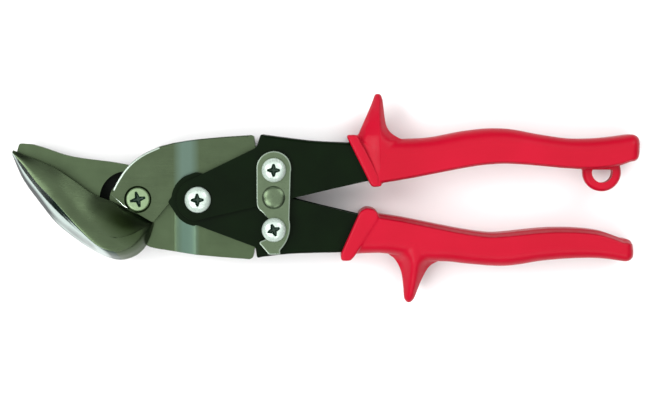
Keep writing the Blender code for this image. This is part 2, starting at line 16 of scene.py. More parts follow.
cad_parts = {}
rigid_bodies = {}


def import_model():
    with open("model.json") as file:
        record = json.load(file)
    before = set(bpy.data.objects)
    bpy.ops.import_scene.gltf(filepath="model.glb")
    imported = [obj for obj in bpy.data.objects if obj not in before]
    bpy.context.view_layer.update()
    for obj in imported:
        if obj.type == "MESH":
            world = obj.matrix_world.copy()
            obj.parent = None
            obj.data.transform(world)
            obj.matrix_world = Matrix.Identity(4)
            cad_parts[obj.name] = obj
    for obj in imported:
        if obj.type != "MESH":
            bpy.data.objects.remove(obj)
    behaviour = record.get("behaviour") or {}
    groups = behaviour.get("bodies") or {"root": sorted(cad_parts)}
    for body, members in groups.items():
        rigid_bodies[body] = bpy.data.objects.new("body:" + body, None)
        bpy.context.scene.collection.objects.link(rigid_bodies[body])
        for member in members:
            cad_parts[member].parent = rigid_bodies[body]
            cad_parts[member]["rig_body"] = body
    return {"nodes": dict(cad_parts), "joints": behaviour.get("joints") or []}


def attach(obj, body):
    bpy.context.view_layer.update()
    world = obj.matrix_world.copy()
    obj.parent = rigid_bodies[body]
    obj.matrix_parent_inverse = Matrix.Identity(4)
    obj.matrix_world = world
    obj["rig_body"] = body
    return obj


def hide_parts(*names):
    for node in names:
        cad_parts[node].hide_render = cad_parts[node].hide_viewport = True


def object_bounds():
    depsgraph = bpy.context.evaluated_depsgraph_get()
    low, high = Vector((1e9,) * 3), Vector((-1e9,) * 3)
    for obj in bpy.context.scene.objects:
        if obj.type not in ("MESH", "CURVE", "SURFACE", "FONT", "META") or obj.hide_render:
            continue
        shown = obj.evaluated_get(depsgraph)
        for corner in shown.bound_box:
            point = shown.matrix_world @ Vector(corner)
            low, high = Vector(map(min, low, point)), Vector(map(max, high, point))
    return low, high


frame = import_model()
CAD_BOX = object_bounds()

MM = 0.001
JOINTS = {j["name"]: Vector(j["pos_m"]) / MM for j in frame["joints"]}
LINK_AXIS_Y = 0.8  # the pivots' height in the drawing
ZERO = Vector((JOINTS["blade_pivot"].x, JOINTS["blade_pivot"].y - LINK_AXIS_Y, JOINTS["blade_pivot"].z))


def drawn(joint):
    """A joint's axis as a drawing point."""
    return (JOINTS[joint].x - ZERO.x, JOINTS[joint].y - ZERO.y)


BLADE_PIVOT = drawn("blade_pivot")
HANDLE_PIVOT = drawn("handle_pivot")
UPPER_LINK = drawn("latch_pivot")
LOWER_LINK = drawn("lower_link")

SHEAR = 0.15
BLADE_HIGH = 4.0
TAIL_DROP = 0.7  # how far the tails' faces sit below the hub's
LOWER_FLANGE = (4.3, 5.7)
UPPER_FLANGE = (6.0, 7.5)
LATCH_LOW = 7.8
LATCH_HIGH = 9.3
COLLAR_HIGH = 9.75
BORE = 3.2
LOOSE_BORE = 3.7  # the near blade's hole round the upper link bolt
SHANK = 2.9
NUT_ACROSS = 10.0
THROUGH = 20  # how far a cutter reaches each way to pass right through
SHEET = 1.5


# ---- drawing and mesh helpers ----------------------------------------------------------------


def arc(centre, radius, start, end, steps):
    """Points along an arc between two angles in degrees."""
    turns = [math.radians(start + (end - start) * i / steps) for i in range(steps + 1)]
    return [(centre[0] + radius * math.cos(t), centre[1] + radius * math.sin(t)) for t in turns]


def smooth(points, steps):
    """A Catmull-Rom curve through points of any dimension."""
    points = [Vector(p) for p in points]
    ends = [2 * points[0] - points[1], *points, 2 * points[-1] - points[-2]]
    found = []
    for i in range(len(points) - 1):
        a, b, c, d = ends[i : i + 4]
        for k in range(steps):
            t = k / steps
            curve = 2 * b + (c - a) * t + (2 * a - 5 * b + 4 * c - d) * t**2
            curve += (3 * b - a - 3 * c + d) * t**3
            found.append(tuple(curve / 2))
    return [*found, tuple(points[-1])]


def rounded(outline, radius, steps=4):
    """An outline with every corner over 20 degrees rounded by a quadratic curve."""
    found = []
    count = len(outline)
    for i, point in enumerate(outline):
        here = Vector(point)
        back = Vector(outline[i - 1]) - here
        ahead = Vector(outline[(i + 1) % count]) - here
        if back.length < 1e-6 or ahead.length < 1e-6 or math.pi - back.angle(ahead) < 0.35:
            found.append(tuple(here))
            continue
        reach = min(radius, back.length * 0.45, ahead.length * 0.45)
        start, end = here + back.normalized() * reach, here + ahead.normalized() * reach
        for k in range(steps + 1):
            t = k / steps
            found.append(tuple(start * (1 - t) ** 2 + here * 2 * t * (1 - t) + end * t * t))
    return found


def place(x, y, z=0.0):
    """A drawing point as a model point in metres."""
    return (Vector((x, y, z)) + ZERO) * MM


def high(z):
    """A drawing height as a model height in metres."""
    return (z + ZERO.z) * MM


MATERIAL_SLOTS = 3  # empty slots keep the faces' material numbers through every Boolean


def made_object(name, work):
    """Turns a bmesh into a linked object with its empty material slots."""
    bmesh.ops.recalc_face_normals(work, faces=work.faces[:])
    mesh = bpy.data.meshes.new(name)
    work.to_mesh(mesh)
    work.free()
    for _ in range(MATERIAL_SLOTS):
        mesh.materials.append(None)
    obj = bpy.data.objects.new(name, mesh)
    bpy.context.scene.collection.objects.link(obj)
    return obj


def prism(outline, low, top):
    """A bmesh of an outline made solid between two heights."""
    work = bmesh.new()
    rims = [[work.verts.new(place(x, y, z)) for x, y in outline] for z in (low, top)]
    work.faces.new(list(reversed(rims[0])))
    work.faces.new(rims[1])
    for i in range(len(outline)):
        j = (i + 1) % len(outline)
        work.faces.new((rims[0][i], rims[0][j], rims[1][j], rims[1][i]))
    bmesh.ops.recalc_face_normals(work, faces=work.faces[:])
    return work


def bevel_rim(work, level, width, steps=3, chosen=None, material=None):
    """Rounds or chamfers the rim at one height, or the part of it that chosen(x, y) picks."""
    edges = []
    for edge in work.edges:
        if any(abs(v.co.z - high(level)) > 1e-7 for v in edge.verts):
            continue
        if len(edge.link_faces) == 2 and edge.calc_face_angle(0) < 0.5:
            continue
        middle = (edge.verts[0].co + edge.verts[1].co) / 2 / MM - ZERO
        if chosen is None or chosen(middle.x, middle.y):
            edges.append(edge)
    made = bmesh.ops.bevel(
        work, geom=edges, offset=width * MM, segments=steps, profile=0.5, affect="EDGES",
        clamp_overlap=False,
    )
    if material is not None:
        for face in made["faces"]:
            middle = face.calc_center_median() / MM - ZERO
            face.material_index = material(middle.x, middle.y)


def slab(name, outline, low, top, rim=0.0, steps=3):
    """An outline made solid between two heights, with its rims rounded by rim."""
    work = prism(outline, low, top)
    if rim:
        bevel_rim(work, low, rim, steps)
        bevel_rim(work, top, rim, steps)
    return made_object(name, work)


def loft(name, rows):
    """A skin over rows of drawing points; its two ends are filled."""
    work = bmesh.new()
    verts = [[work.verts.new(place(*p)) for p in row] for row in rows]
    count = len(verts[0])
    for one, two in zip(verts, verts[1:]):
        for i in range(count):
            j = (i + 1) % count
            work.faces.new((one[i], one[j], two[j], two[i]))
    work.faces.new(verts[0])
    work.faces.new(verts[-1])
    return made_object(name, work)


def turned(name, centre, profile, steps=64):
    """A solid turned about a pivot axis from (radius, height) points."""
    work = bmesh.new()
    rows = []
    for radius, z in profile:
        if radius < 1e-6:
            rows.append([work.verts.new(place(*centre, z))])
        else:
            ring = arc(centre, radius, 0, 360 - 360 / steps, steps - 1)
            rows.append([work.verts.new(place(x, y, z)) for x, y in ring])
    pairs = list(zip(rows, rows[1:]))
    if profile[0][0] > 1e-6:
        pairs.append((rows[-1], rows[0]))
    for one, two in pairs:
        for i in range(steps):
            j = (i + 1) % steps
            corners = [one[i % len(one)], one[j % len(one)], two[j % len(two)], two[i % len(two)]]
            unique = [v for k, v in enumerate(corners) if v not in corners[:k]]
            work.faces.new(unique)
    return made_object(name, work)


def settle(obj):
    """Bakes an object's modifiers into its mesh."""
    bpy.context.view_layer.update()
    graph = bpy.context.evaluated_depsgraph_get()
    mesh = bpy.data.meshes.new_from_object(obj.evaluated_get(graph))
    obj.modifiers.clear()
    old = obj.data
    obj.data = mesh
    mesh.name = obj.name
    bpy.data.meshes.remove(old)
    return obj


def combine(obj, operation, *others):
    """A Boolean of obj with each of the others, which are used up."""
    for other in others:
        step = obj.modifiers.new("combine", "BOOLEAN")
        step.operation = operation
        step.object = other
        step.solver = "EXACT"
        step.material_mode = "INDEX"
    settle(obj)
    for other in others:
        bpy.data.objects.remove(other)
    return obj


def weld_and_shade(obj, sharp=32.0, weighted=True):
    """Shades an object smooth, with hard edges where faces meet at more than sharp degrees."""
    obj.data.shade_smooth()
    obj.data.set_sharp_from_angle(angle=math.radians(sharp))
    if weighted:
        step = obj.modifiers.new("normals", "WEIGHTED_NORMAL")
        step.keep_sharp = True
        step.weight = 80
    return obj


def painted(cutter, index):
    """Gives a cutter a material index, which the faces it leaves behind take over."""
    for face in cutter.data.polygons:
        face.material_index = index
    return cutter


def drill(obj, *bores, paint=0):
    """Cuts round holes given as (centre, radius, low, high)."""
    rods = [turned("bore", c, [(0, b), (r, b), (r, a), (0, a)]) for c, r, a, b in bores]
    return combine(obj, "DIFFERENCE", *(painted(rod, paint) for rod in rods))


def finish(obj, node, slot, *materials):
    """Puts a piece in its node's place, on its body, with its materials. The slot argument is not used."""
    obj.name = node + "_look"
    slots = obj.data.materials
    for index, material in enumerate(materials):
        if index < len(slots):
            slots[index] = material
        else:
            slots.append(material)
    while len(slots) > len(materials):
        slots.pop()
    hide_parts(node)
    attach(obj, frame["nodes"][node]["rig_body"])
    return obj


# ---- materials -------------------------------------------------------------------------------


class Nodes:
    """A small helper for building one material's node tree."""

    def __init__(self, name, colour, metallic, roughness):
        self.material = bpy.data.materials.new(name)
        self.material.use_nodes = True
        self.tree = self.material.node_tree
        self.shader = self.tree.nodes["Principled BSDF"]
        self.shader.inputs["Base Color"].default_value = (*colour, 1.0)
        self.shader.inputs["Metallic"].default_value = metallic
        self.shader.inputs["Roughness"].default_value = roughness
        coordinates = self.tree.nodes.new("ShaderNodeTexCoord")
        self.place = coordinates.outputs["Object"]
        self.normal = coordinates.outputs["Normal"]

    def noise(self, scale, detail=3.0, stretch=(1.0, 1.0, 1.0), turn=0.0):
        """Noise at a scale in cycles per metre, stretched along axes turned about z."""
        mapping = self.tree.nodes.new("ShaderNodeMapping")
        mapping.inputs["Rotation"].default_value = (0.0, 0.0, math.radians(turn))
        mapping.inputs["Scale"].default_value = stretch
        self.tree.links.new(self.place, mapping.inputs["Vector"])
        made = self.tree.nodes.new("ShaderNodeTexNoise")
        made.inputs["Scale"].default_value = scale
        made.inputs["Detail"].default_value = detail
        self.tree.links.new(mapping.outputs["Vector"], made.inputs["Vector"])
        return made.outputs["Fac"]

    def ramp(self, source, low, high, start=0.3, end=0.7):
        """Remaps a 0 to 1 value to the span from low to high."""
        made = self.tree.nodes.new("ShaderNodeMapRange")
        made.inputs["From Min"].default_value = start
        made.inputs["From Max"].default_value = end
        made.inputs["To Min"].default_value = low
        made.inputs["To Max"].default_value = high
        self.tree.links.new(source, made.inputs["Value"])
        return made.outputs["Result"]

    def vector_math(self, operation, source, other=(0.0, 0.0, 0.0)):
        made = self.tree.nodes.new("ShaderNodeVectorMath")
        made.operation = operation
        made.inputs[1].default_value = other
        self.tree.links.new(source, made.inputs[0])
        return made.outputs["Value"]

    def facing(self, direction, start, end):
        """1 where the surface leans far enough towards a direction, fading to 0."""
        return self.ramp(self.vector_math("DOT_PRODUCT", self.normal, direction), 0, 1, start, end)

    def within(self, centre, radii, turn, soft):
        """1 inside an ellipse in the drawing, fading to 0 at its rim from soft of its radius."""
        mapping = self.tree.nodes.new("ShaderNodeMapping")
        mapping.vector_type = "TEXTURE"
        mapping.inputs["Location"].default_value = (*place(*centre)[:2], 0.0)
        mapping.inputs["Rotation"].default_value = (0.0, 0.0, math.radians(turn))
        mapping.inputs["Scale"].default_value = (radii[0] * MM, radii[1] * MM, 1.0)
        self.tree.links.new(self.place, mapping.inputs["Vector"])
        return self.ramp(self.vector_math("LENGTH", mapping.outputs["Vector"]), 1, 0, soft, 1.0)

    def both(self, first, second):
        """The product of two masks."""
        made = self.tree.nodes.new("ShaderNodeMath")
        made.operation = "MULTIPLY"
        self.tree.links.new(first, made.inputs[0])
        self.tree.links.new(second, made.inputs[1])
        return made.outputs["Value"]

    def blend(self, source, first, second):
        """Mixes two colours, or colour outputs, by a 0 to 1 value."""
        made = self.tree.nodes.new("ShaderNodeMix")
        made.data_type = "RGBA"
        for socket, colour in (("A", first), ("B", second)):
            if isinstance(colour, tuple):
                made.inputs[socket].default_value = (*colour, 1.0)
            else:
                self.tree.links.new(colour, made.inputs[socket])
        self.tree.links.new(source, made.inputs["Factor"])
        return made.outputs["Result"]

    def bump(self, source, strength, depth, under=None):
        made = self.tree.nodes.new("ShaderNodeBump")
        made.inputs["Strength"].default_value = strength
        made.inputs["Distance"].default_value = depth * MM
        self.tree.links.new(source, made.inputs["Height"])
        if under is not None:
            self.tree.links.new(under, made.inputs["Normal"])
        return made.outputs["Normal"]

    def join(self, source, socket):
        self.tree.links.new(source, self.shader.inputs[socket])


def steel(name, colour, roughness, grain_turn, grain=1.0, *overlays):
    """Satin steel: faint mottling, tumbled grain and fine grinding lines.

    Each overlay is a mask made from the nodes, the colour it lays down and its roughness.
    """
    nodes = Nodes(name, colour, 1.0, roughness)
    dark = tuple(c * 0.84 for c in colour)
    tone = nodes.blend(nodes.ramp(nodes.noise(140, 4), 0, 1), dark, colour)
    lines = nodes.noise(900, 3, (0.12, 2.6, 1.0), grain_turn)
    grit = nodes.noise(2600, 4)
    sheen = nodes.ramp(lines, roughness - 0.05, roughness + 0.07)
    for mask, over, over_roughness in overlays:
        where = mask(nodes)
        tone = nodes.blend(where, tone, over)
        sheen = nodes.blend(where, sheen, (over_roughness,) * 3)
    nodes.join(tone, "Base Color")
    nodes.join(sheen, "Roughness")
    first = nodes.bump(lines, 0.10 * grain, 0.02)
    nodes.join(nodes.bump(grit, 0.08 * grain, 0.015, first), "Normal")
    return nodes.material


def painted_bend_sheen(nodes):
    """The band where a tail is bent, made rougher and painted lighter and bluish as a painted reflection.
    """
    return nodes.within((18.2, 0.0), (5.0, 400.0), 0, 0.3)


OUTWARD = (-0.90, -0.44, 0.0)  # the way the jaw's outer face leans


def painted_dark_band(nodes):
    """A painted dark reflection, teal, over the middle of the jaw's outer face, which is also made a little
    smoother.
    """
    return nodes.facing(OUTWARD, 0.30, 0.38)


def tip_polish_and_highlight(nodes):
    """The point's half of the outer face: polished smoother, with a bright painted highlight in its colour.
    """
    tip = nodes.within((-45.0, 9.0), (17.0, 17.0), 0, 0.55)
    return nodes.both(nodes.facing(OUTWARD, 0.27, 0.35), tip)


def edge_polish_and_highlight(nodes):
    """The steeper strip along the outer edge: polished smoother, with a bright painted reflection in its
    colour.
    """
    return nodes.facing(OUTWARD, 0.60, 0.70)


def painted_rim_shade(nodes):
    """A painted dark line of shade right at the outer edge."""
    return nodes.facing(OUTWARD, 0.79, 0.86)


def painted_corner_shade(nodes):
    """Painted shade darkening the corner between the jaw and the hub."""
    return nodes.within((-5.4, -7.4), (16.0, 7.4), -34.6, 0.2)


def plated(name, colour, roughness, metallic):
    """Zinc plate: bright, with soft clouding and a few handling marks."""
    nodes = Nodes(name, colour, metallic, roughness)
    dull = tuple(c * 0.9 for c in colour)
    nodes.join(nodes.blend(nodes.ramp(nodes.noise(500, 4), 0, 1), dull, colour), "Base Color")
    nodes.join(nodes.ramp(nodes.noise(1400, 3), roughness - 0.04, roughness + 0.08), "Roughness")
    nodes.join(nodes.bump(nodes.noise(1800, 2), 0.03, 0.01), "Normal")
    return nodes.material


def enamel(name, colour, roughness):
    """Baked enamel over stamped steel, with a slight orange peel."""
    nodes = Nodes(name, colour, 0.0, roughness)
    lighter = tuple(c * 1.5 for c in colour)
    nodes.join(nodes.blend(nodes.ramp(nodes.noise(90, 4), 0, 1), colour, lighter), "Base Color")
    nodes.join(nodes.ramp(nodes.noise(220, 3), roughness - 0.04, roughness + 0.06), "Roughness")
    nodes.join(nodes.bump(nodes.noise(1300, 2), 0.10, 0.03), "Normal")
    nodes.shader.inputs["Specular IOR Level"].default_value = 0.05
    return nodes.material


def vinyl(name, colour, roughness):
    """Moulded vinyl: satin skin with fine pebbling and faint cloudiness."""
    nodes = Nodes(name, colour, 0.0, roughness)
    deeper = tuple(c * f for c, f in zip(colour, (0.90, 0.80, 0.80)))
    nodes.join(nodes.blend(nodes.ramp(nodes.noise(45, 3), 0, 1), deeper, colour), "Base Color")
    nodes.join(nodes.ramp(nodes.noise(700, 3), roughness - 0.04, roughness + 0.06), "Roughness")
    nodes.join(nodes.bump(nodes.noise(1600, 3), 0.08, 0.03), "Normal")
    nodes.shader.inputs["Specular IOR Level"].default_value = 0.12
    return nodes.material


# The jaw's overlays paint light into its colour: corner shade, a dark reflection band, tip and edge
# highlights, a dark edge line and a lighter bend band.
JAW_STEEL = steel(
    "jaw_steel", (0.060, 0.084, 0.046), 0.30, 30, 0.5,
    (painted_corner_shade, (0.018, 0.030, 0.010), 0.35),
    (painted_dark_band, (0.036, 0.062, 0.050), 0.26),
    (tip_polish_and_highlight, (0.34, 0.40, 0.36), 0.20),
    (edge_polish_and_highlight, (0.42, 0.50, 0.47), 0.15),
    (painted_rim_shade, (0.020, 0.028, 0.028), 0.35),
    (painted_bend_sheen, (0.095, 0.145, 0.115), 0.34),
)
# The far blade's bend band is painted lighter and bluish: a painted reflection.
FAR_STEEL = steel(
    "ground_steel", (0.060, 0.086, 0.046), 0.33, -25, 1.0, (painted_bend_sheen, (0.085, 0.140, 0.108), 0.40)
)
# Brighter, smoother steel on the hub's chamfers: a polish with a painted highlight in its colour.
HIGHLIGHT_POLISH_STEEL = steel("edge_polish_and_highlight", (0.42, 0.50, 0.43), 0.17, 10, 0.3)
SHADED_STEEL = steel("shaded_bore", (0.008, 0.016, 0.005), 0.5, 0)
# Near-black paint standing in for shade in the far blade's hollows.
RELIEF_SHADOW_BLACK = enamel("relief_shadow", (0.002, 0.003, 0.002), 0.6)
ZINC = plated("bright_zinc", (0.46, 0.55, 0.49), 0.27, 0.25)
BRASSY_ZINC = plated("flush_head_zinc", (0.17, 0.25, 0.13), 0.34, 0.35)
RECESS_SHADE = plated("recess_shade", (0.004, 0.026, 0.012), 0.5, 0.3)
DULL_ZINC = plated("latch_zinc_plate", (0.088, 0.122, 0.072), 0.30, 0.9)
# Brighter zinc on the latch's rim bevel: a painted highlight.
RIM_HIGHLIGHT_ZINC = plated("latch_rim_highlight", (0.19, 0.24, 0.19), 0.30, 0.7)
DARK_STEEL = plated("oiled_spring_steel", (0.10, 0.11, 0.10), 0.34, 1.0)
BLACK = enamel("black_handle_enamel", (0.0009, 0.0040, 0.0005), 0.34)
RED = vinyl("red_grip_vinyl", (0.39, 0.0015, 0.017), 0.36)


# ---- blades ----------------------------------------------------------------------------------

# Jaw stations from point to heel: cutting edge, crease, outer silhouette, crease height, how round
# the crease is, and the cutting edge's height as a part of the crease's.
JAW_STATIONS = (
    (-47.0, 19.2, -47.2, 18.3, -47.4, 17.0, 2.4, 0.10, 0.60),
    (-42.5, 17.3, -42.3, 13.0, -43.5, 8.2, 4.4, 0.10, 0.60),
    (-36.5, 14.9, -37.0, 6.4, -37.4, -0.4, 6.2, 0.11, 0.58),
    (-30.0, 11.9, -31.6, 1.2, -31.4, -7.9, 7.6, 0.12, 0.54),
    (-23.2, 7.2, -26.0, -4.8, -25.0, -13.3, 8.5, 0.15, 0.44),
    (-17.0, 2.8, -20.6, -10.4, -18.6, -17.7, 9.0, 0.22, 0.34),
    (-11.6, 0.6, -14.6, -15.4, -12.6, -20.9, 9.3, 0.36, 0.28),
    (-7.0, -1.6, -8.2, -17.4, -6.9, -22.2, 9.2, 0.46, 0.25),
    (-2.9, -3.8, -2.8, -15.6, -1.6, -20.8, 8.4, 0.50, 0.25),
    (0.2, -5.2, 0.6, -13.0, 2.0, -17.9, 7.2, 0.50, 0.26),
    (2.7, -6.3, 3.0, -10.6, 4.1, -13.8, 5.6, 0.50, 0.30),
    (4.3, -7.0, 4.6, -8.9, 5.2, -10.5, 3.8, 0.50, 0.36),
    (5.0, -7.3, 5.3, -7.9, 5.7, -8.7, 2.4, 0.50, 0.40),
)
BASE = -1.0  # blades are drawn this far past the shear plane and then cut back to it


def jaw_row(station):
    """One jaw section: up the land, across the face, over the crease and down to the table side."""
    edge, crease, outer = Vector(station[:2]), Vector(station[2:4]), Vector(station[4:6])
    height, soft, land = station[6:]
    face = []
    for part in (0.0, 0.12, 0.30, 0.50, 0.72, 1 - soft * 0.5):
        swell = land + (1 - land) * math.sin(math.pi / 2 * part)
        face.append((edge.lerp(crease, part), height * swell))
    face += [
        (crease.lerp(outer, soft * 0.25), height * (1 - soft * 0.10)),
        (crease.lerp(outer, 0.18 + soft * 0.12), height * 0.92),
        (crease.lerp(outer, 0.38), height * 0.82),
        (crease.lerp(outer, 0.62), height * 0.58),
        (crease.lerp(outer, 0.84), height * 0.28),
        (crease.lerp(outer, 0.95), height * 0.13),
        (outer, 0.0),
    ]
    curve = smooth([(p.x, p.y, z) for p, z in face], 4)
    under = crease.lerp(outer, 0.90)
    return [(edge.x, edge.y, BASE), *curve, (under.x, under.y, BASE)]


def jaw():
    return loft("offset_jaw", [jaw_row(s) for s in smooth(JAW_STATIONS, 7)])


def shear_cutter(side):
    """Everything on the other blade's side of the shear plane, up to the tail's ramp."""
    ramp_start, ramp_end = 13.6, 21.4
    near, beyond = side * SHEAR, -side * (BLADE_HIGH + 6.0)
    tail_face = -side * (BLADE_HIGH - (TAIL_DROP if side < 0 else 0.0))
    ease = smooth(
        [(ramp_start - 1.2, near), (ramp_start + 0.8, near - side * 0.35),
         (ramp_end - 0.8, tail_face + side * 0.35), (ramp_end + 1.2, tail_face)], 8
    )
    corners = [(-80.0, near), *ease, (70.0, tail_face), (70.0, beyond), (-80.0, beyond)]
    return loft("shear", [[(x, y, z) for x, z in corners] for y in (-60.0, 60.0)])


def drop_tail(work, top):
    """Steps the tail's near face down across the bend band."""
    start, end = 15.2, 21.8
    for i in range(7):
        x = start + (end - start) * i / 6
        geometry = work.verts[:] + work.edges[:] + work.faces[:]
        bmesh.ops.bisect_plane(work, geom=geometry, plane_co=place(x, 0), plane_no=(1, 0, 0))
    for vert in work.verts:
        if vert.co.z < high(top) - 1.3 * MM:
            continue
        along = (vert.co.x / MM - ZERO.x - start) / (end - start)
        along = min(1.0, max(0.0, along))
        vert.co.z -= TAIL_DROP * MM * along * along * (3 - 2 * along)


def near_blade():
    outline = [
        *smooth([(-10.2, 2.9), (-7.9, 7.3), (-5.1, 11.6), (-1.9, 15.0), (2.4, 18.0), (8.0, 20.6)], 6),
        *smooth([(13.5, 22.0), (21.3, 23.2), (31.8, 24.2), (42.6, 24.9)], 6),
        (43.5, 24.4),
        (44.0, 20.3),
        *arc(UPPER_LINK, 7.4, 118, -118, 30),
        (39.5, 5.6),
        (29.5, 8.2),
        *arc(HANDLE_PIVOT, 7.6, 60, 150, 14),
        (11.7, -0.6),
        (5.6, -7.9),
        (-5.4, -1.8),
    ]
    work = prism(rounded(outline, 1.0), -BLADE_HIGH, BLADE_HIGH)
    # Where these chamfers take material 1, the brighter steel is a painted highlight along them.
    bevel_rim(
        work, BLADE_HIGH, 0.8, 3,
        lambda x, y: -9.6 < x < 41 and y > 3.9 + 0.35 * max(0, x), lambda x, y: int(x < 10),
    )
    bevel_rim(
        work, BLADE_HIGH, 0.4, 2,
        lambda x, y: -9.2 < x < 4.6 and y < 2.2 - 0.68 * (x + 9.5), lambda x, y: 1,
    )
    drop_tail(work, BLADE_HIGH)
    blade = made_object("near_blade", work)
    combine(blade, "UNION", jaw())
    combine(blade, "DIFFERENCE", shear_cutter(1))
    # The counterbore and the link bolt's hole are painted near-black with the shaded steel: painted shade.
    stepped = [(0, THROUGH), (5.1, THROUGH), (5.1, 2.0)]
    stepped += [(BORE, 2.0), (BORE, -THROUGH), (0, -THROUGH)]
    combine(blade, "DIFFERENCE", painted(turned("counterbore", BLADE_PIVOT, stepped), 2))
    drill(blade, (UPPER_LINK, LOOSE_BORE, -THROUGH, THROUGH), paint=2)
    weld_and_shade(blade, 28)
    finish(blade, "near_blade", "forged_steel", JAW_STEEL, HIGHLIGHT_POLISH_STEEL, SHADED_STEEL)


def far_blade():
    jaw_top = [(-40.0, 21.4), (-34.9, 19.9), (-28.2, 17.6), (-21.5, 16.2), (-10.5, 14.8)]
    outline = [
        (-44.9, 21.8),
        *smooth([*jaw_top, (-3.0, 13.5)], 6),
        *arc(BLADE_PIVOT, 12.6, 95, 10, 18),
        *arc(HANDLE_PIVOT, 7.6, 210, 300, 14),
        (29.5, -7.6),
        (39.5, -5.0),
        *arc(LOWER_LINK, 7.4, 118, -118, 30),
        (43.8, -17.2),
        (43.1, -21.1),
        (41.9, -21.7),
        *smooth([(29.2, -20.7), (19.8, -19.8), (10.5, -18.5), (3.3, -16.9), (-4.0, -12.0)], 6),
        (-12.0, -4.5),
        *smooth([(-18.0, -0.5), (-28.0, 6.2), (-38.0, 12.4), (-46.2, 17.2)], 4),
    ]
    work = prism(rounded(outline, 1.0), -BLADE_HIGH, BLADE_HIGH)
    bevel_rim(work, -BLADE_HIGH, 0.8, 3)
    bevel_rim(work, BLADE_HIGH, 0.5, 2)
    blade = made_object("far_blade", work)
    combine(blade, "DIFFERENCE", shear_cutter(-1))
    # The relief groove and the bores are painted near-black: painted shade in the hollows.
    centre = (-4.4, 0.9)
    relief = [*arc(centre, 10.4, 186, 92, 28), *arc(centre, 6.6, 92, 186, 28)]
    combine(blade, "DIFFERENCE", painted(slab("relief", relief, -3.4, 6.0), 1))
    ends = (-THROUGH, THROUGH)
    drill(blade, (BLADE_PIVOT, BORE, *ends), (LOWER_LINK, BORE, *ends), paint=1)
    weld_and_shade(blade, 28)
    finish(blade, "far_blade", "forged_steel", FAR_STEEL, RELIEF_SHADOW_BLACK)


# ---- handles ---------------------------------------------------------------------------------

UPPER_WEB = [(46.2, 25.2), (55.9, 23.9), (66.4, 22.7), (78.6, 22.1), (86.0, 21.6)]
LOWER_WEB = [(44.7, -21.0), (53.7, -19.9), (61.1, -19.4), (77.0, -19.0), (86.0, -18.2)]
# The handles stop here, inside their grips. The CAD's tangs run on to 168, so these are 68 mm short,
# and the grips are solid where the CAD has the rest of its pockets.
TANG_END = 100.0


def channel(name, outline, hollow, flange, on_web, bores, node):
    """A folded sheet channel with a rounded fold along its web and softened sheet edges."""
    low, top = flange
    work = prism(outline, -top, top)
    bevel_rim(work, top, 1.5, 5, on_web)
    bevel_rim(work, -top, 1.5, 5, on_web)
    handle = made_object(name, work)
    combine(handle, "DIFFERENCE", slab("hollow", hollow, -low, low))
    drill(handle, *((centre, BORE, -THROUGH, THROUGH) for centre in bores))
    soften = handle.modifiers.new("soften", "BEVEL")
    soften.width = 0.22 * MM
    soften.segments = 2
    soften.limit_method = "ANGLE"
    soften.angle_limit = math.radians(50)
    settle(handle)
    weld_and_shade(handle, 40)
    finish(handle, node, "black_enamel", BLACK)


def upper_handle():
    web = smooth(UPPER_WEB, 6)
    outline = [
        *arc(HANDLE_PIVOT, 7.9, 262, 116, 30),
        (43.9, 19.9),
        (44.7, 20.8),
        *web,
        (TANG_END, 20.8),
        (TANG_END, 12.5),
        (86.0, 7.8),
        (71.7, 4.6),
        (58.2, 1.4),
    ]
    hollow = [(46.7, 40.0), (46.7, web[0][1] - SHEET)]
    hollow += [(x, y - SHEET) for x, y in web[1:]]
    hollow += [(TANG_END + 9, 19.0), (TANG_END + 9, -2.0), (60.0, -12.0), (0.0, -20.0), (0.0, 40.0)]
    bores = (HANDLE_PIVOT, UPPER_LINK)
    channel(
        "upper_handle", rounded(outline, 0.7), hollow, UPPER_FLANGE,
        lambda x, y: 47 < x < 95 and y > 19.5, bores, "upper_handle",
    )


def lower_handle():
    web = smooth(LOWER_WEB, 6)
    outline = [
        (22.0, LINK_AXIS_Y + 10.3),
        *arc(HANDLE_PIVOT, 10.0, 118, 174, 12),
        (11.4, HANDLE_PIVOT[1] - 0.9),
        *arc(HANDLE_PIVOT, 10.0, 206, 262, 12),
        (22.0, LINK_AXIS_Y - 9.5),
        (44.1, -17.0),
        *web,
        (TANG_END, -17.6),
        (TANG_END, -9.6),
        (82.2, -4.7),
        (69.1, -1.6),
        (58.2, 1.1),
        (36.0, 7.4),
    ]
    hollow = [(0.0, 30.0), (0.0, -40.0), (45.2, -40.0), (45.2, web[0][1] + SHEET)]
    hollow += [(x, y + SHEET) for x, y in web[1:]]
    hollow += [(TANG_END + 9, -16.0), (TANG_END + 9, 2.0), (60.0, 12.0)]
    bores = (HANDLE_PIVOT, LOWER_LINK)
    channel(
        "lower_handle", rounded(outline, 0.7), hollow, LOWER_FLANGE,
        lambda x, y: 46 < x < 95 and y < -17.6, bores, "lower_handle",
    )


# ---- grips -----------------------------------------------------------------------------------


def resampled(points, count):
    """A polyline's points spread evenly along its length."""
    points = [Vector(p) for p in points]
    spans = [(b - a).length for a, b in zip(points, points[1:])]
    total = sum(spans)
    found = []
    for k in range(count + 1):
        goal = total * k / count
        for a, b, span in zip(points, points[1:], spans):
            if goal <= span + 1e-9:
                found.append(a.lerp(b, min(1.0, goal / span)))
                break
            goal -= span
    return found


def grip_row(outer, inner, half, soft_outer, fold):
    """A grip section: well rounded outside, and folded over (width, drop) along its inner edge."""
    span = (outer - inner).length
    across = (outer - inner) / span
    width, drop = fold
    soft = 0.35
    spots = arc((span - soft_outer, half - soft_outer), soft_outer, 0, 90, 8)
    spots += [(width + soft, half), (width, half - soft * 0.3)]
    spots += [(soft, half - drop), (0, half - drop - soft)]
    spots += [(0, soft + drop - half), (soft, drop - half)]
    spots += [(width, soft * 0.3 - half), (width + soft, -half)]
    spots += arc((span - soft_outer, soft_outer - half), soft_outer, 270, 360, 8)
    row = []
    for along, z in spots:
        spot = inner + across * along
        row.append((spot.x, spot.y, z))
    return row


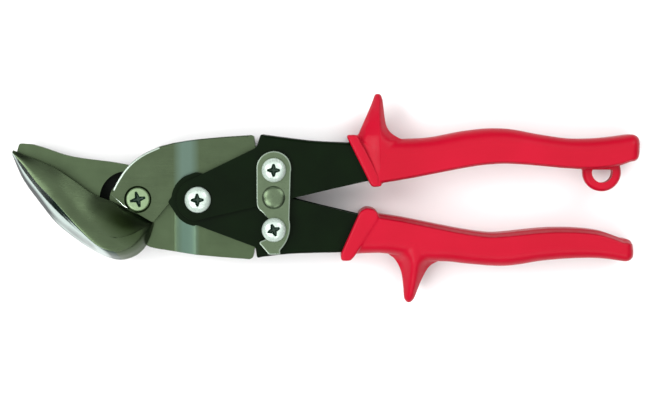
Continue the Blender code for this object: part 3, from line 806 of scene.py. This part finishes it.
def sleeve(name, outer, inner, half_front, half_back, cap, fold):
    """The grip's body: sections between two long edges, and a domed end."""
    count = 56
    outers, inners = resampled(smooth(outer, 8), count), resampled(smooth(inner, 8), count)
    rows = []
    for k, (a, b) in enumerate(zip(outers, inners)):
        half = half_front + (half_back - half_front) * k / count
        soft = min(5.6, (a - b).length * 0.42)
        rows.append(grip_row(a, b, half, soft, fold))
    a, b = outers[-1], inners[-1]
    middle = (a + b) / 2
    forward = Vector((abs((a - b).y), -math.copysign((a - b).x, (a - b).y))).normalized() * cap
    for degrees in (18, 36, 54, 70, 82):
        turn = math.radians(degrees)
        shrink = math.cos(turn) ** 0.55
        at = middle + forward * math.sin(turn)
        soft = min(5.6, (a - b).length * 0.42) * shrink
        rows.append(
            grip_row(
                at + (a - middle) * shrink, at + (b - middle) * shrink, half_back * shrink, soft,
                (fold[0] * shrink, fold[1] * shrink),
            )
        )
    return loft(name, rows)


def horn(name, levels, left_flare, steps=9):
    """A finger guard from rows of (y, left, ridge, right, ridge height, rim height, flare).

    A flare of 1 sweeps the flanks out like a bell, and 0 leaves them plainly convex. The left
    flank takes left_flare times as much.
    """
    rows = []
    for y, left, ridge, right, top, rim, flare in smooth(levels, 4):
        front = []
        for side, end in ((-1, left), (1, right)):
            flank = []
            bell = flare * (left_flare if side < 0 else 1.0)
            for k in range(steps):
                away = 1 - k / steps if side < 0 else (k + 1) / steps
                crown = math.cos(math.pi / 2 * away)
                height = rim + (top - rim) * (bell * crown**2 + (1 - bell) * crown)
                flank.append((ridge + (end - ridge) * away, height))
            front += flank
            if side < 0:
                front.append((ridge, top))
        row = [(x, y, z) for x, z in front]
        row += [(x, y, -z) for x, z in reversed(front)]
        rows.append(row)
    return loft(name, rows)


def moulded(voxel, passes, first, *others):
    """Melts overlapping solids into one moulded skin with soft fillets."""
    for other in others:
        work = bmesh.new()
        work.from_mesh(first.data)
        work.from_mesh(other.data)
        work.to_mesh(first.data)
        work.free()
        bpy.data.objects.remove(other)
    step = first.modifiers.new("skin", "REMESH")
    step.mode = "VOXEL"
    step.voxel_size = voxel * MM
    relax = first.modifiers.new("relax", "SMOOTH")
    relax.factor = 0.5
    relax.iterations = passes
    return settle(first)


def facet(side, rows):
    """A cutter above a ruled face; rows are (y, ridge x, ridge height, edge x, edge height).

    Beside the collar the face stops in a step; beyond it the face runs on past the edge.
    """
    sections = []
    for y, ridge, ridge_z, edge, edge_z in rows:
        beyond = 3.0 if y > 24.7 else 0.05
        slope = (ridge_z - edge_z) / (ridge - edge)
        row = [(ridge + 0.6, y, ridge_z + 0.6), (ridge, y, ridge_z)]
        row += [(edge - beyond, y, edge_z - slope * beyond), (edge - beyond, y, 18.0)]
        row.append((ridge + 0.6, y, 18.0))
        sections.append([(x, yy, side * z) for x, yy, z in row])
    return loft("facet", sections)


def grip(shape, pocket, deep, node):
    """Opens the grip's pocket and gives the grip its material."""
    combine(shape, "DIFFERENCE", slab("pocket", pocket, -deep, deep))
    weld_and_shade(shape, 40, False)
    finish(shape, node, "red_vinyl", RED)


def upper_grip():
    outer = [(81.4, 23.8), (92.0, 23.4), (101.0, 23.5), (109.8, 24.1), (120.7, 26.2), (129.7, 27.3)]
    outer += [(135.6, 27.4), (141.0, 26.9), (150.5, 25.1), (161.7, 23.6), (172.9, 23.8), (184.5, 25.2)]
    inner = [(90.0, 6.8), (102.1, 8.8), (113.3, 11.0), (124.5, 13.1), (131.9, 14.0), (139.3, 14.2)]
    inner += [(150.5, 13.4), (158.0, 12.7), (166.9, 12.2), (174.0, 12.6), (180.0, 13.6), (184.0, 15.0)]
    body = sleeve("upper_grip", outer, inner, 9.4, 9.2, 3.6, (0.8, 1.4))
    guard = horn(
        "upper_guard",
        [
            (12.0, 86.6, 90.6, 99.0, 9.5, 7.6, 1.0),
            (18.0, 84.0, 90.4, 103.0, 9.5, 7.2, 1.0),
            (22.0, 82.4, 90.2, 101.6, 9.3, 6.4, 1.0),
            (23.8, 82.2, 90.1, 97.8, 9.0, 5.6, 0.9),
            (25.9, 83.0, 90.0, 94.6, 8.6, 4.6, 0.6),
            (29.0, 84.3, 89.9, 92.9, 7.4, 3.4, 0.3),
            (34.0, 86.5, 89.8, 92.2, 5.2, 1.8, 0.1),
            (38.0, 88.1, 89.8, 91.7, 3.4, 1.4, 0.0),
            (39.8, 88.7, 89.8, 91.1, 2.2, 1.0, 0.0),
            (40.4, 89.3, 89.8, 90.4, 1.0, 0.5, 0.0),
        ],
        0.0,
    )
    centre = (174.1, 10.9)
    ring = [(7.2, 1.4), (7.2, -1.4), (6.2, -2.6), (1.0, -2.6), (1.0, 2.6), (6.2, 2.6)]
    loop = turned("loop", centre, ring)
    band = [(77.9, 24.9), (87.5, 5.5), (91.6, 5.9), (82.2, 25.0)]
    collar = slab("collar", rounded(band, 1.2), -COLLAR_HIGH, COLLAR_HIGH, 0.8, 4)
    shape = moulded(0.42, 4, body, guard, collar, loop)
    hole = rounded([*arc(centre, 3.9, 165, 375, 28)], 0.8)
    combine(shape, "DIFFERENCE", slab("loop_hole", hole, -THROUGH, THROUGH))
    ridge_line = (
        (2.0, 91.2, 9.7, 89.6, 9.6),
        (9.5, 90.7, 9.5, 89.8, 9.3),
        (14.0, 90.5, 9.4, 87.7, 8.8),
        (19.0, 90.4, 9.2, 85.1, 8.2),
        (22.0, 90.2, 8.9, 83.6, 7.9),
        (24.6, 90.1, 8.4, 82.6, 6.9),
        (24.9, 90.1, 8.3, 82.6, 6.8),
        (29.6, 89.9, 6.6, 84.7, 4.6),
        (35.0, 89.8, 4.5, 87.0, 2.6),
        (40.0, 89.8, 2.1, 89.0, 0.9),
        (44.0, 89.9, 0.5, 89.0, 0.2),
    )
    combine(shape, "DIFFERENCE", facet(1, ridge_line), facet(-1, ridge_line))
    pocket = [(74.0, 22.6), (80.0, 22.4), (101.0, 21.2), (101.0, 12.2), (86.0, 7.4), (74.0, 4.6)]
    grip(shape, pocket, UPPER_FLANGE[1] + 0.3, "upper_grip")


def lower_grip():
    outer = [(81.0, -19.6), (86.0, -19.4), (92.0, -19.4), (99.0, -20.4), (106.0, -22.2), (116.0, -22.5)]
    outer += [(122.2, -23.2), (134.9, -24.2), (143.1, -23.6), (150.5, -22.3), (161.7, -21.3)]
    outer += [(172.9, -21.2), (182.6, -22.4)]
    inner = [(89.9, -4.6), (98.4, -5.9), (109.6, -8.1), (120.7, -10.3), (129.7, -11.6), (135.6, -11.7)]
    inner += [(150.5, -10.2), (158.0, -9.9), (165.4, -10.1), (172.9, -11.0), (178.0, -12.6), (181.6, -14.0)]
    body = sleeve("lower_grip", outer, inner, 9.2, 9.2, 3.6, (1.5, 3.6))
    guard = horn(
        "lower_guard",
        [
            (-13.0, 92.0, 103.6, 116.0, 9.2, 6.0, 1.0),
            (-17.0, 93.0, 103.6, 118.5, 9.2, 4.4, 1.0),
            (-19.8, 94.0, 103.6, 118.0, 9.0, 3.0, 1.0),
            (-21.3, 95.9, 103.6, 116.4, 8.7, 2.0, 1.0),
            (-22.6, 96.9, 103.5, 112.8, 8.5, 1.2, 0.9),
            (-24.3, 97.9, 103.5, 109.7, 7.9, 1.6, 0.7),
            (-27.4, 99.0, 103.4, 107.5, 6.7, 2.0, 0.4),
            (-32.1, 99.6, 102.9, 105.4, 5.0, 1.8, 0.1),
            (-36.4, 99.9, 102.1, 103.8, 3.0, 1.3, 0.0),
            (-37.7, 100.6, 101.8, 102.9, 1.7, 0.8, 0.0),
            (-38.35, 101.2, 101.6, 102.1, 0.7, 0.3, 0.0),
        ],
        1.0,
    )
    band = [(75.9, -19.5), (76.1, -22.0), (79.7, -21.9), (81.4, -19.8), (90.3, -5.8), (89.6, -3.6)]
    band += [(87.9, -2.5), (85.3, -2.1), (83.0, -3.6)]
    collar = slab("collar", rounded(list(reversed(band)), 1.0), -COLLAR_HIGH, COLLAR_HIGH, 0.8, 4)
    shape = moulded(0.42, 6, body, guard, collar)
    pocket = [(72.0, -19.4), (101.0, -17.9), (101.0, -9.2), (82.2, -4.4), (72.0, -2.0)]
    grip(shape, pocket, LOWER_FLANGE[1] + 0.35, "lower_grip")


# ---- latch -----------------------------------------------------------------------------------


def latch():
    cx, cy = UPPER_LINK
    hx, hy = LOWER_LINK
    half = 6.5
    outline = [
        *arc((cx, cy + 0.6), half, -12, 180, 40),
        (cx - half, 1.6),
        *arc((cx - 2.6, -0.4), 3.8, 180, 236, 10),
        *arc((hx + 0.2, hy), 4.4, 116, -42, 26),
        (hx + 1.2, hy - 2.2),
        (hx - 5.0, hy - 4.2),
        (hx - 5.6, hy - 5.0),
        (hx - 1.9, hy - 9.3),
        (hx + 2.4, hy - 9.3),
        *arc((cx - 6.2, -9.0), 12.3, -46, 12, 16),
    ]
    work = prism(list(reversed(rounded(outline, 0.6))), LATCH_LOW, LATCH_HIGH)
    # The top rim's bevel takes the brighter rim zinc, a painted highlight.
    bevel_rim(
        work, LATCH_HIGH, 0.5, 2, lambda x, y: math.hypot(x - hx, y - hy) > 5.2, lambda x, y: 1
    )
    plate = made_object("latch", work)
    drill(plate, (UPPER_LINK, BORE, -THROUGH, THROUGH))
    dome = [(0, LATCH_HIGH + 1.2)]
    for degrees in range(12, 73, 12):
        turn = math.radians(degrees)
        dome.append((4.55 * math.sin(turn), LATCH_HIGH - 0.55 + 1.75 * math.cos(turn)))
    dome += [(4.45, LATCH_HIGH - 0.6), (0, LATCH_HIGH - 0.6)]
    combine(plate, "UNION", turned("thumb_boss", (51.0, 1.7), dome))
    weld_and_shade(plate, 26)
    finish(plate, "latch", "latch_zinc", DULL_ZINC, RIM_HIGHLIGHT_ZINC)


# ---- bolts, nuts, washers and spring ---------------------------------------------------------


def recess(centre, top, turn, arm):
    """A cross recess for a driver: flared arms that narrow with depth."""
    rows = []
    for z, reach, end, root in (
        (top + 0.6, arm + 0.15, 0.50, 0.98),
        (top - 0.1, arm, 0.42, 0.90),
        (top - 1.6, arm * 0.62, 0.30, 0.62),
        (top - 2.0, arm * 0.3, 0.2, 0.4),
    ):
        row = []
        for k in range(4):
            angle = math.radians(90 * k + turn)
            cos, sin = math.cos(angle), math.sin(angle)
            for u, v in ((root, -root), (reach, -end), (reach + 0.1, 0), (reach, end)):
                row.append((centre[0] + u * cos - v * sin, centre[1] + u * sin + v * cos, z))
        rows.append(row)
    return loft("recess", rows)


def threads(radius, top, end):
    """A threaded end as a turned zigzag."""
    pitch = 0.8
    profile = []
    z = top
    while z - pitch > end + 0.4:
        profile += [(radius, z - pitch * 0.1), (radius, z - pitch * 0.3), (radius - 0.4, z - pitch * 0.7)]
        z -= pitch
    return [*profile, (radius - 0.1, end + 0.4), (radius - 0.5, end), (0, end)]


def bolt(node, centre, head, under, top, necks, end, turn, flat=False, arm=2.5):
    """A cross-recess bolt: domed head, plain shank, threaded end."""
    rise = top - under
    if flat:
        profile = [(0, top), (head - 0.9, top - 0.06), (head - 0.35, top - 0.2), (head, top - 0.6)]
    else:
        profile = [(0, top)]
        for k in range(1, 9):
            angle = math.radians(10.2 * k)
            profile.append((head * math.sin(angle) ** 0.92, top - rise * 0.9 * (1 - math.cos(angle))))
        profile.append((head, under + rise * 0.12))
    profile += [(head, under + 0.15), (head - 0.15, under)]
    z = under
    for radius, low in necks:
        profile += [(radius, z), (radius, low)]
        z = low
    profile += [(SHANK, z), (SHANK, -6.2), *threads(SHANK, -6.2, end)]
    made = turned(node, centre, profile, 72)
    combine(made, "DIFFERENCE", painted(recess(centre, top, turn, arm), 1))
    weld_and_shade(made, 30)
    finish(made, node, "zinc_plate", BRASSY_ZINC if flat else ZINC, RECESS_SHADE)


def nut(node, centre, low, top, across, turn=0.0):
    """A chamfered hexagon nut."""
    reach = across / math.sqrt(3)
    made = slab(node, arc(centre, reach, turn, turn + 300, 5), low, top)
    chamfer = [(0, top), (across / 2 - 0.1, top), (reach, top - 0.45), (reach, low + 0.55)]
    chamfer += [(across / 2 - 0.2, low), (0, low)]
    combine(made, "INTERSECT", turned("chamfer", centre, chamfer))
    bore = [(0, 30), (3.02, 30), (3.02, low + 0.5), (3.5, low), (3.5, -40), (0, -40)]
    combine(made, "DIFFERENCE", turned("hole", centre, bore))
    weld_and_shade(made, 25)
    finish(made, node, "zinc_plate", ZINC)


def washer(node, centre, inner, outer, low, top, slot="zinc_plate", material=None):
    """A flat ring with softened outer edges: a washer, spacer, sleeve or collar."""
    soft = min(0.2, (top - low) / 3)
    profile = [(outer - soft, top), (outer, top - soft), (outer, low + soft), (outer - soft, low)]
    profile += [(inner, low), (inner, top)]
    made = turned(node, centre, profile)
    weld_and_shade(made, 40)
    finish(made, node, slot, material or ZINC)


def fasteners():
    bolt("blade_pivot_bolt", BLADE_PIVOT, 4.35, 2.3, 4.25, (), -8.6, 14, True, 2.9)
    washer("blade_pivot_washer", BLADE_PIVOT, BORE, 6.0, -5.3, -4.3)
    nut("blade_pivot_nut", BLADE_PIVOT, -8.9, -5.6, NUT_ACROSS, 10)
    under = UPPER_FLANGE[1] + 0.1
    bolt("handle_pivot_bolt", HANDLE_PIVOT, 4.85, under, 10.5, (), -9.3, 2)
    nut("handle_pivot_nut", HANDLE_PIVOT, -9.6, -7.8, NUT_ACROSS, 20)
    washer("handle_pivot_sleeve", HANDLE_PIVOT, BORE, 3.9, -4.0, 4.0)
    bolt("upper_link_bolt", UPPER_LINK, 4.5, LATCH_HIGH + 0.8, 12.9, (), -9.3, 0)
    nut("upper_link_nut", UPPER_LINK, -9.6, -7.8, NUT_ACROSS, 5)
    washer("upper_link_spacer_front", UPPER_LINK, BORE, 6.6, 4.3, 5.7)
    washer("upper_link_spacer_back", UPPER_LINK, BORE, 6.6, -5.7, -4.3)
    bolt("lower_link_bolt", LOWER_LINK, 4.5, LATCH_HIGH + 0.2, 12.4, ((1.7, 7.5),), -8.9, 20)
    nut("lower_link_nut", LOWER_LINK, -9.6, -6.0, NUT_ACROSS, 25)
    washer("catch_collar", LOWER_LINK, BORE, 4.4, 6.0, 7.2)
    washer(
        "latch_spring_washer", UPPER_LINK, BORE, 4.2, LATCH_HIGH + 0.15, LATCH_HIGH + 0.7,
        "spring_steel", DARK_STEEL,
    )


def opening_spring():
    """The torsion spring, wound a little finer than its CAD solid."""
    cx, cy = HANDLE_PIVOT
    wire, radius, turns = 0.65, 5.2, 3
    start, end = 100.0, 100.0 + 360.0 * turns + 160.0
    reach = 4.0 - wire
    count = 40 * turns
    coil = []
    for i in range(count + 1):
        turn = math.radians(start + (end - start) * i / count)
        z = -reach + 2 * reach * i / count
        coil.append((cx + radius * math.cos(turn), cy + radius * math.sin(turn), z))
    first = (coil[0][0] + 19.0, coil[0][1] - 2.4, coil[0][2])
    last = (coil[-1][0] + 19.0, coil[-1][1] + 2.4, coil[-1][2])
    curve = bpy.data.curves.new("opening_spring", "CURVE")
    curve.dimensions = "3D"
    curve.bevel_depth = wire * MM
    curve.bevel_resolution = 4
    curve.use_fill_caps = True
    spline = curve.splines.new("POLY")
    route = [first, *coil, last]
    spline.points.add(len(route) - 1)
    for point, spot in zip(spline.points, route):
        point.co = (*place(*spot), 1.0)
    drawn_curve = bpy.data.objects.new("spring_curve", curve)
    bpy.context.scene.collection.objects.link(drawn_curve)
    bpy.context.view_layer.update()
    graph = bpy.context.evaluated_depsgraph_get()
    mesh = bpy.data.meshes.new_from_object(drawn_curve.evaluated_get(graph))
    bpy.data.objects.remove(drawn_curve)
    spring = bpy.data.objects.new("opening_spring", mesh)
    bpy.context.scene.collection.objects.link(spring)
    weld_and_shade(spring, 50, False)
    finish(spring, "opening_spring", "spring_steel", DARK_STEEL)


# ---- stage -----------------------------------------------------------------------------------


def softbox(name, spot, width, height, radiance):
    """A rectangular soft box facing the object."""
    light = bpy.data.lights.new(name, "AREA")
    light.shape = "RECTANGLE"
    light.size = width
    light.size_y = height
    light.energy = radiance * math.pi * width * height
    obj = bpy.data.objects.new(name, light)
    bpy.context.scene.collection.objects.link(obj)
    obj.location = spot
    obj.rotation_euler = (-Vector(spot)).to_track_quat("-Z", "Y").to_euler()


def stage():
    """A pale table under one large soft box, with four smaller ones round it."""
    work = bmesh.new()
    bmesh.ops.create_grid(work, x_segments=1, y_segments=1, size=3.0)
    floor = made_object("floor", work)
    floor.location.z = CAD_BOX[0].z
    paint = Nodes("pale_floor", (0.94, 0.94, 0.94), 0.0, 0.7)
    floor.data.materials.append(paint.material)
    world = bpy.data.worlds.new("studio")
    world.use_nodes = True
    sky = world.node_tree.nodes["Background"]
    sky.inputs["Color"].default_value = (0.92, 0.96, 1.0, 1.0)
    sky.inputs["Strength"].default_value = 0.10
    bpy.context.scene.world = world
    softbox("overhead", (0.0, 0.1, 1.3), 2.6, 2.6, 1.65)
    softbox("key_box", (-0.62, -0.55, 0.95), 0.6, 0.5, 8.0)
    softbox("left_box", (-0.80, 0.30, 0.80), 0.5, 0.5, 8.0)
    softbox("right_box", (0.75, 0.62, 0.75), 0.7, 0.6, 4.0)
    softbox("front_box", (0.25, -0.90, 0.80), 0.6, 0.3, 5.0)


VIEW_CENTRE = (70.1, -0.9, 0.0)


def camera():
    """Looks down along the pivot axes from a few degrees towards +Y."""
    lens = bpy.data.cameras.new("camera")
    lens.lens = 100.0
    lens.sensor_width = 36.0
    width_seen = 0.2448  # metres across the picture at the shear plane
    distance = width_seen * lens.lens / lens.sensor_width
    obj = bpy.data.objects.new("camera", lens)
    bpy.context.scene.collection.objects.link(obj)
    tilt = math.radians(2.5)
    centre = place(*VIEW_CENTRE)
    obj.location = centre + Vector((0.0, math.sin(tilt), math.cos(tilt))) * distance
    forward = (centre - obj.location).normalized()
    right = Vector((1.0, 0.0, 0.0))
    up = right.cross(forward)
    obj.rotation_euler = Matrix((right, up, -forward)).transposed().to_euler()
    bpy.context.scene.camera = obj


near_blade()
far_blade()
upper_handle()
lower_handle()
upper_grip()
lower_grip()
latch()
fasteners()
opening_spring()
stage()
camera()
bpy.context.scene.view_settings.view_transform = "Standard"
